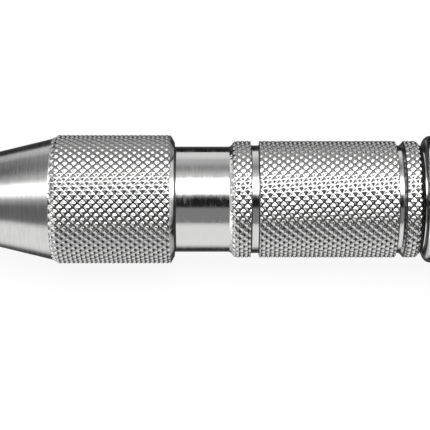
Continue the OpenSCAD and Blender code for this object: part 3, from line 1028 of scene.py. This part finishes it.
@dataclass
class Body:
    """The knurled front collar and the barrel with its polished neck, knurled grip and rear thread.

    The collar's knurl starts that far behind its front edge and outside it. The grip's knurl starts and
    ends at those shares of its two chamfers.
    """

    collar_x: float = 41.5
    neck_x: float = 56.7
    collar_r: float = 8.0
    collar_base_r: float = 7.54
    collar_chamfer_l: float = 0.75
    collar_knurl_in: tuple[float, float] = (0.2, 0.1)
    collar_ring_l: float = 0.5
    collar_ring_d: float = 0.04
    collar_end_r: float = 7.11
    collar_bore_r: float = 5.55
    collar_socket_x: float = 47.65
    collar_socket_r: float = 6.35
    collar_mouth_r: float = 6.6
    grip_x: float = 63.5
    grip_end_x: float = 87.3
    grip_r: float = 7.25
    grip_step: float = 0.7
    neck_r: float = 6.55
    grip_knurl_in: float = 0.45
    grip_knurl_out: float = 0.6
    grooves: tuple[Groove, ...] = (Groove(66.15), Groove(84.05, bevel=0.45))
    rear_thread_r: float = 6.52
    barrel_end_x: float = 112.0
    chamber_r: float = 5.5
    front_thread_r: float = 6.3
    thread_end_x: float = 56.2
    front_x: float = 47.8
    front_chamber_r: float = 4.6
    web_x: float = 57.0
    sleeve_x: float = 60.0
    web_hole_r: float = 2.55
    snap_x: float = 110.2
    snap_w: float = 0.8
    snap_d: float = 0.45
    edge: float = 0.3
    collar_starts: int = 47
    grip_starts: int = 42
    grip_rising: float = 1.02
    grip_falling: float = 1.16
    thread_pitch: float = 1.0
    thread_depth: float = 0.22
    thread_root: tuple[float, float] = (0.42, 0.58)
    thread_margins: tuple[float, float] = (0.9, 0.6)

    def collar(self) -> Outline:
        """Draws the collar.

        Returns:
            Its outline with its knurled chamfer and smooth rear ring.
        """
        ring_x = self.neck_x - self.collar_ring_l
        knurl_x, knurl_r = self.collar_knurl_in
        return Outline([
            Corner(self.collar_x, self.collar_bore_r),
            Corner(self.collar_x, self.collar_base_r, 0.03),
            Corner(self.collar_x + knurl_x, self.collar_base_r + knurl_r, knurled=True),
            Corner(self.collar_x + self.collar_chamfer_l, self.collar_r, knurled=True),
            Corner(ring_x, self.collar_r),
            Corner(ring_x + 0.5 * self.collar_ring_d, self.collar_r - self.collar_ring_d),
            Corner(self.neck_x, self.collar_end_r, 0.06),
            Corner(self.neck_x, self.collar_mouth_r, 0.03),
            *stepped(
                self.collar_mouth_r, self.thread_end_x, self.collar_socket_r,
                self.collar_socket_x, self.collar_bore_r,
            ),
        ], Knurl(self.collar_starts, cells=8))

    def barrel(self) -> Outline:
        """Draws the barrel.

        Returns:
            Its outline, from its front thread over the grip and the rear thread to its chambers.
        """
        rear_r, rise, fall = self.rear_thread_r, self.grip_knurl_in, self.grip_knurl_out
        margin, rear_margin = self.thread_margins
        return Outline([
            Corner(self.front_x, self.front_chamber_r),
            Corner(self.front_x, self.front_thread_r - self.edge),
            Corner(self.front_x + self.edge, self.front_thread_r),
            Corner(self.thread_end_x, self.front_thread_r),
            Corner(self.thread_end_x, self.neck_r, 0.03),
            Corner(self.grip_x, self.neck_r, 0.04),
            Corner(self.grip_x + rise * self.grip_step, self.neck_r + rise * self.grip_step, knurled=True),
            Corner(self.grip_x + self.grip_step, self.grip_r, knurled=True),
            *(corner for groove in self.grooves for corner in groove.corners(self.grip_r)),
            Corner(self.grip_end_x - self.grip_step, self.grip_r, knurled=True),
            Corner(self.grip_end_x - (1 - fall) * self.grip_step, self.grip_r - fall * self.grip_step),
            Corner(self.grip_end_x, self.neck_r, 0.05),
            Corner(self.grip_end_x, rear_r),
            *self._rear_thread(self.grip_end_x + margin, self.snap_x - rear_margin),
            *stepped(rear_r, self.snap_x, rear_r - self.snap_d, self.snap_x + self.snap_w, rear_r),
            Corner(self.barrel_end_x - self.edge, rear_r),
            Corner(self.barrel_end_x, rear_r - self.edge),
            Corner(self.barrel_end_x, self.chamber_r),
            *stepped(self.chamber_r, self.sleeve_x, self.web_hole_r, self.web_x, self.front_chamber_r),
        ], Knurl(self.grip_starts, self.grip_rising, self.grip_falling))

    def _rear_thread(self, start: float, end: float) -> list[Corner]:
        """Draws the fine rear thread as ridges.

        Args:
            start: the x of the first crest.
            end: the x that the last crest doesn't pass.

        Returns:
            The corners of the ridges.
        """
        crest_r, root_r = self.rear_thread_r, self.rear_thread_r - self.thread_depth
        count = int((end - start) / self.thread_pitch)
        out = [Corner(start, crest_r)]
        for k in range(count):
            x = start + k * self.thread_pitch
            out += [Corner(x + share * self.thread_pitch, root_r) for share in self.thread_root]
            out.append(Corner(x + self.thread_pitch, crest_r))
        return out

    def build(self, lathe: LatheTree, finishes: Finishes) -> None:
        """Makes and dresses the pieces.

        Args:
            lathe: the tree for turned pieces.
            finishes: the materials.
        """
        collar = lathe.piece("knurled_collar", self.collar(), finishes.knurled)
        stands_for(collar, "front_collar", "barrel")
        barrel = lathe.piece("knurled_barrel", self.barrel(), finishes.bright)
        stands_for(barrel, "barrel", "barrel")


@dataclass
class LeafSpring:
    """The bent leaf under the latch block, which flattens as the block is pushed down."""

    start_x: float = 67.0
    end_x: float = 69.8
    floor_z: float = -2.95
    rise: float = 1.3
    half_w: float = 1.65
    thickness: float = 0.25
    edge: float = 0.04
    steps: int = 32
    keep: float = 0.3

    def _section(self, inset: float) -> list[tuple[float, float]]:
        """Draws the bent strip's section as (y, z).

        Args:
            inset: how much smaller the section is all round.

        Returns:
            The outer points from one foot to the other, then the inner ones in the same order.
        """
        bend_r = (self.half_w**2 + self.rise**2) / (2 * self.rise)
        centre_z = self.floor_z + self.rise - bend_r
        out = []
        for radius in (bend_r - inset, bend_r - self.thickness + inset):
            foot = math.asin((self.floor_z + inset - centre_z) / radius)
            for k in range(self.steps + 1):
                a = foot + (math.pi - 2 * foot) * k / self.steps
                out.append((radius * math.cos(a), centre_z + radius * math.sin(a)))
        return out

    def build(self, finishes: Finishes) -> None:
        """Makes the leaf with its small edge chamfers and lets it ride on the hammer.

        Args:
            finishes: the materials.
        """
        count = self.steps + 1
        rows = (
            (self.start_x, self.edge), (self.start_x + self.edge, 0.0),
            (self.end_x - self.edge, 0.0), (self.end_x, self.edge),
        )
        points = [(x * MM, y * MM, z * MM) for x, inset in rows for y, z in self._section(inset)]
        loop = list(range(count)) + list(range(2 * count - 1, count - 1, -1))
        faces = []
        for row in range(len(rows) - 1):
            low, high = row * 2 * count, (row + 1) * 2 * count
            for here, there in zip(loop, loop[1:] + loop[:1]):
                faces.append((low + here, low + there, high + there, high + here))
        last = (len(rows) - 1) * 2 * count
        for k in range(self.steps):
            faces.append((k, count + k, count + k + 1, k + 1))
            faces.append((last + k, last + k + 1, last + count + k + 1, last + count + k))
        mesh = bpy.data.meshes.new("bent_leaf_spring")
        mesh.from_pydata(points, [], faces)
        shape = bmesh.new()
        shape.from_mesh(mesh)
        bmesh.ops.recalc_face_normals(shape, faces=shape.faces)
        for face in shape.faces:
            face.smooth = True
        for edge in shape.edges:
            edge.smooth = edge.calc_face_angle(0.0) < CREASE
        shape.to_mesh(mesh)
        shape.free()
        mesh.materials.append(finishes.blued)
        leaf = placed("bent_leaf_spring", mesh)
        LOG.info("%s: %d faces", leaf.name, len(mesh.polygons))
        stands_for(leaf, "latch_leaf_spring", "hammer")
        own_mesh(leaf)


@dataclass
class HammerWorks:
    """The hammer, its latch and cam, the main spring and the seat behind it."""

    coil: Coil = Coil(91.2, 118.5, 4.55, 0.65, 8.0, 18)

    def build(self, winder: CoilTree, finishes: Finishes) -> None:
        """Makes the main spring and dresses the other pieces.

        Args:
            winder: the tree for springs.
            finishes: the materials.
        """
        spring = winder.spring("wound_main_spring", self.coil, finishes.wire)
        stands_for(spring, "main_spring", "barrel")
        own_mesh(spring)
        LeafSpring().build(finishes)
        dress(finishes.ground, "hammer", "main_spring_washer", "spring_seat")
        dress(finishes.hardened, "latch_block", "cam_sleeve")
        dress(finishes.fibre, "buffer_washer")
        dress(finishes.polished, "thrust_ball")


@dataclass
class AdjustingCap:
    """The knurled cap sleeve with its polished bead, the domed end and the small rings inside.

    The sleeve's knurl starts and ends at those shares of its two chamfers.
    """

    cap_x: float = 87.55
    dome_x: float = 115.4
    end_x: float = 126.0
    cap_r: float = 8.0
    bead_r: float = 7.9
    bead_round: float = 0.95
    waist_r: float = 7.3
    waist_l: float = 1.1
    chamfer: float = 0.7
    knurl_in: float = 0.4
    knurl_out: float = 0.6
    groove: Groove = Groove(112.0)
    bore_r: float = 6.57
    stop_bore_r: float = 6.92
    stop_bore_x: float = 106.1
    friction_x: float = 92.45
    friction_w: float = 1.2
    friction_r: float = 7.07
    dome_r: float = 7.6
    dome_ball_r: float = 8.7
    dome_flat_r: float = 2.8
    dome_bore_r: float = 5.5
    dome_floor_x: float = 121.4
    spigot_x: float = 112.4
    ball_x: float = 120.7
    ball_r: float = 1.62
    edge: float = 0.3
    press_fit: float = 0.02
    flat_inset: float = 0.98
    starts: int = 47

    def sleeve(self) -> Outline:
        """Draws the cap sleeve.

        Returns:
            Its outline with its bead, waist, knurl and bores.
        """
        bead_end = self.cap_x + 2 * self.bead_round
        knurl_x = bead_end + self.waist_l
        centre_x, centre_r = self.cap_x + self.bead_round, self.bead_r - self.bead_round
        meet = math.degrees(math.asin((self.waist_r - centre_r) / self.bead_round))
        rise, fall = self.knurl_in * self.chamfer, self.knurl_out * self.chamfer
        return Outline([
            Corner(self.cap_x, self.bore_r, 0.04),
            *arc(centre_x, centre_r, self.bead_round, 180.0, meet, steps=28),
            Corner(knurl_x, self.waist_r, 0.05),
            Corner(knurl_x + rise, self.waist_r + rise, knurled=True),
            Corner(knurl_x + self.chamfer, self.cap_r, knurled=True),
            *self.groove.corners(self.cap_r),
            Corner(self.dome_x - self.chamfer, self.cap_r, knurled=True),
            Corner(self.dome_x - self.chamfer + fall, self.cap_r - fall),
            Corner(self.dome_x, self.cap_r - self.chamfer, 0.05),
            Corner(self.dome_x, self.stop_bore_r),
            *stepped(
                self.stop_bore_r, self.stop_bore_x, self.bore_r,
                self.friction_x + self.friction_w, self.friction_r, self.friction_x, self.bore_r,
            ),
        ], Knurl(self.starts))

    def dome(self) -> Outline:
        """Draws the domed end.

        Returns:
            Its outline with its bore and the ball's seat.
        """
        ball_x = self.end_x - math.sqrt(self.dome_ball_r**2 - self.dome_flat_r**2)
        start = math.degrees(math.asin(self.dome_r / self.dome_ball_r))
        end = math.degrees(math.asin(self.dome_flat_r / self.dome_ball_r))
        seat = math.degrees(math.acos((self.dome_floor_x - self.ball_x) / self.ball_r))
        spigot_r = self.stop_bore_r - self.press_fit
        return Outline([
            Corner(self.spigot_x, self.dome_bore_r),
            Corner(self.spigot_x, spigot_r - self.edge),
            Corner(self.spigot_x + self.edge, spigot_r),
            Corner(self.dome_x, spigot_r),
            Corner(self.dome_x, self.dome_r - self.edge, 0.05),
            Corner(self.dome_x + self.edge, self.dome_r, 0.12),
            *arc(ball_x, 0.0, self.dome_ball_r, start, end, steps=40),
            Corner(self.end_x, self.dome_flat_r * self.flat_inset),
            Corner(self.end_x, 0.0),
            *arc(self.ball_x, 0.0, self.ball_r, 0.0, seat, steps=12),
            Corner(self.dome_floor_x, self.dome_bore_r),
        ])

    def build(self, lathe: LatheTree, finishes: Finishes) -> None:
        """Makes and dresses the pieces.

        Args:
            lathe: the tree for turned pieces.
            finishes: the materials.
        """
        sleeve = lathe.piece("knurled_cap_sleeve", self.sleeve(), finishes.knurled)
        stands_for(sleeve, "adjusting_cap", "cap")
        dome = lathe.piece("polished_dome", self.dome(), finishes.polished)
        stands_for(dome, "cap_dome", "cap")
        dress(finishes.nylon, "cap_friction_ring")
        dress(finishes.blued, "cap_stop_ring")


# The studio


@dataclass(frozen=True)
class Card:
    """One bright card of the room that the metal mirrors.

    Its angles are in degrees round the tool's axis, from the horizon in front (0) over the top (90) to the
    horizon behind (180). Its ends along the tool are given by the x of the mirrored direction, from -1 to 1.
    Each soft size is half the width of the fade at that end.
    """

    name: str
    level: float
    start: float
    end: float
    start_soft: float = 2.0
    end_soft: float = 2.0
    left: float = -1.2
    right: float = 0.26
    side_soft: float = 0.1

    def light(self, angle: Link, x: Link) -> Link:
        """Returns the card's light in a mirrored direction.

        Args:
            angle: the direction's angle round the tool's axis, in degrees.
            x: the direction's part along the tool.

        Returns:
            The level, fading out over the soft ends.
        """
        around = angle.between(self.start, self.end, self.start_soft, self.end_soft)
        across = x.between(self.left, self.right, self.side_soft, self.side_soft)
        return around * across * self.level


@dataclass
class Studio:
    """The white floor, the overhead softbox, the room that the metal mirrors, and the camera.

    The camera sees the floor's paint through a large share of plain white, so that a faint shadow stays.
    """

    floor_z: float = -8.0
    centre_x: float = 61.72
    distance: float = 222.0
    elevation: float = 50.0
    lens: float = 149.0
    sensor: float = 36.0
    axis_above: float = 1.97
    clip: tuple[float, float] = (0.01, 10.0)
    floor_half: float = 3000.0
    floor_white: float = 0.9
    floor_paint: float = 0.9
    lamp_power: float = 2.2
    lamp_size: tuple[float, float] = (700.0, 270.0)
    lamp_back: float = 100.0
    lamp_up: float = 500.0
    world_level: float = 0.55
    room: tuple[Card, ...] = (
        Card("table", 0.57, -80.0, -3.2, 12.0, 1.2),
        Card("table_light", 0.28, -74.0, -8.0, 12.0, 6.0),
        Card("front_wall", 0.11, -3.2, 32.0, 1.2, 3.5),
        Card("front_light", 0.11, -3.2, 32.0, 1.2, 3.5, left=-0.32, side_soft=0.14),
        Card("softbox", 4.4, 65.5, 92.0, 9.5, 8.5, left=-0.22, right=0.8, side_soft=0.08),
        Card("softbox_left", 2.0, 58.5, 82.5, 12.0, 11.0, left=-0.8, right=-0.22, side_soft=0.08),
        Card("softbox_glow", 0.45, 58.0, 110.0, 9.0, 14.0, left=-0.32, right=0.85),
        Card("left_glow", 0.3, 36.0, 104.0, 9.0, 12.0, left=-0.6, right=-0.32),
        Card("back_wall", 0.27, 90.0, 144.0, 10.0, 1.5, left=-0.4, side_soft=0.2),
        Card("back_light", 0.21, 131.0, 144.0, 10.0, 1.5, left=-0.3, side_soft=0.15),
        Card("window", 0.46, 144.0, 175.0, 1.5, 1.5, left=-0.3, side_soft=0.15),
        Card("window_side", 0.3, 150.0, 175.0, 8.0, 1.5),
        Card("low_back", 0.05, -160.0, -96.0, 10.0, 10.0),
        Card("left_wing", 0.6, 46.0, 112.0, 16.0, 10.0, left=-0.8, right=-0.56, side_soft=0.05),
        Card("right_wing", 1.4, 52.0, 112.0, 10.0, 8.0, left=0.25, right=0.8, side_soft=0.08),
        Card("right_window", 0.4, 118.0, 172.0, 8.0, 4.0, left=0.26, right=0.75, side_soft=0.1),
        Card("left_end", 0.6, -110.0, 176.0, 20.0, 4.0, right=-0.76, side_soft=0.05),
        Card("left_low", 0.5, -150.0, -76.0, 10.0, 8.0, right=-0.27, side_soft=0.07),
        Card("right_low", 0.4, -150.0, -62.0, 10.0, 10.0, left=0.42, right=0.75, side_soft=0.06),
        Card("left_top", 0.6, 122.0, 200.0, 10.0, left=-0.78, right=-0.54, side_soft=0.04),
        Card("right_end", 0.5, -200.0, 200.0, left=0.75, right=1.3, side_soft=0.03),
        Card("right_end_top", 0.35, -40.0, 200.0, 20.0, left=0.75, right=1.3, side_soft=0.03),
        Card("right_top", 0.5, 60.0, 200.0, 15.0, left=0.6, right=0.75, side_soft=0.04),
    )
    room_dark: float = 0.015

    def build(self) -> None:
        """Makes the camera, the floor, the lamp and the world."""
        self._camera()
        self._floor()
        self._lamp()
        self._world()

    def _camera(self) -> None:
        """Makes the camera at the photograph's angle."""
        data = bpy.data.cameras.new("camera")
        data.lens, data.sensor_width = self.lens, self.sensor
        data.clip_start, data.clip_end = self.clip
        camera = placed("camera", data)
        a = math.radians(self.elevation)
        back = Vector((0.0, -math.cos(a), math.sin(a)))
        up = Vector((0.0, math.sin(a), math.cos(a)))
        middle = Vector((self.centre_x * MM, 0.0, 0.0))
        camera.location = middle + back * (self.distance * MM)
        aim(camera, middle - up * (self.axis_above * MM))
        bpy.context.scene.camera = camera

    def _floor(self) -> None:
        """Makes the white floor, which keeps a soft shadow."""
        mesh = bpy.data.meshes.new("studio_floor")
        corners = ((-1, -1), (1, -1), (1, 1), (-1, 1))
        half, z = self.floor_half * MM, self.floor_z * MM
        mesh.from_pydata([(x * half, y * half, z) for x, y in corners], [], [(0, 1, 2, 3)])
        floor = placed("studio_floor", mesh)
        made = bpy.data.materials.new("studio_white")
        m = NodeMaker.emptied(made)
        seen = m.ray("Is Camera Ray", "Is Transmission Ray")
        white = m.made("ShaderNodeEmission", None, {"Color": (1, 1, 1, 1), "Strength": 1.0})
        paint = m.made("ShaderNodeBsdfDiffuse", None, {"Color": (self.floor_paint,) * 3 + (1,)})
        mixed = m.made("ShaderNodeMixShader", None, {"Fac": seen * self.floor_white, 1: paint, 2: white})
        m.node("ShaderNodeOutputMaterial", None, {"Surface": mixed})
        mesh.materials.append(made)
        floor.visible_glossy = False

    def _lamp(self) -> None:
        """Makes the overhead softbox."""
        data = bpy.data.lights.new("softbox", "AREA")
        data.shape = "RECTANGLE"
        data.size, data.size_y = (side * MM for side in self.lamp_size)
        data.energy = self.lamp_power
        lamp = placed("softbox", data)
        lamp.location = (self.centre_x * MM, -self.lamp_back * MM, self.lamp_up * MM)
        aim(lamp, Vector((self.centre_x * MM, 0, 0)))
        lamp.visible_glossy = False
        lamp.visible_camera = False

    def _world(self) -> None:
        """Makes the world: white to the camera, plain to matt surfaces, a room of soft bands to metal."""
        world = bpy.data.worlds.new("studio_room")
        bpy.context.scene.world = world
        m = NodeMaker.emptied(world)
        x, y, z = m.coordinates("Generated")
        angle = m.math("ARCTAN2", z, y * -1.0) * (180.0 / math.pi)
        band = self.room[0].light(angle, x) + self.room_dark
        for card in self.room[1:]:
            band = band + card.light(angle, x)
        mirrored = m.ray("Is Glossy Ray")
        seen = m.ray("Is Camera Ray", "Is Transmission Ray")
        level = seen + (1.0 - seen) * (mirrored * band + (1.0 - mirrored) * self.world_level)
        background = m.made("ShaderNodeBackground", None, {"Color": (1, 1, 1, 1), "Strength": level})
        m.node("ShaderNodeOutputWorld", None, {"Surface": background})


def main() -> None:
    logging.basicConfig(level=logging.INFO, format="%(name)s: %(message)s", stream=sys.stdout)
    bpy.context.scene.view_settings.view_transform = "Standard"
    Studio().build()
    LOG.info("studio ready")
    finishes = Finishes()
    lathe = LatheTree()
    winder = CoilTree()
    NoseAndPunch().build(lathe, winder, finishes)
    Body().build(lathe, finishes)
    HammerWorks().build(winder, finishes)
    AdjustingCap().build(lathe, finishes)
    LOG.info("boxes written")


if __name__ == "__main__":
    main()
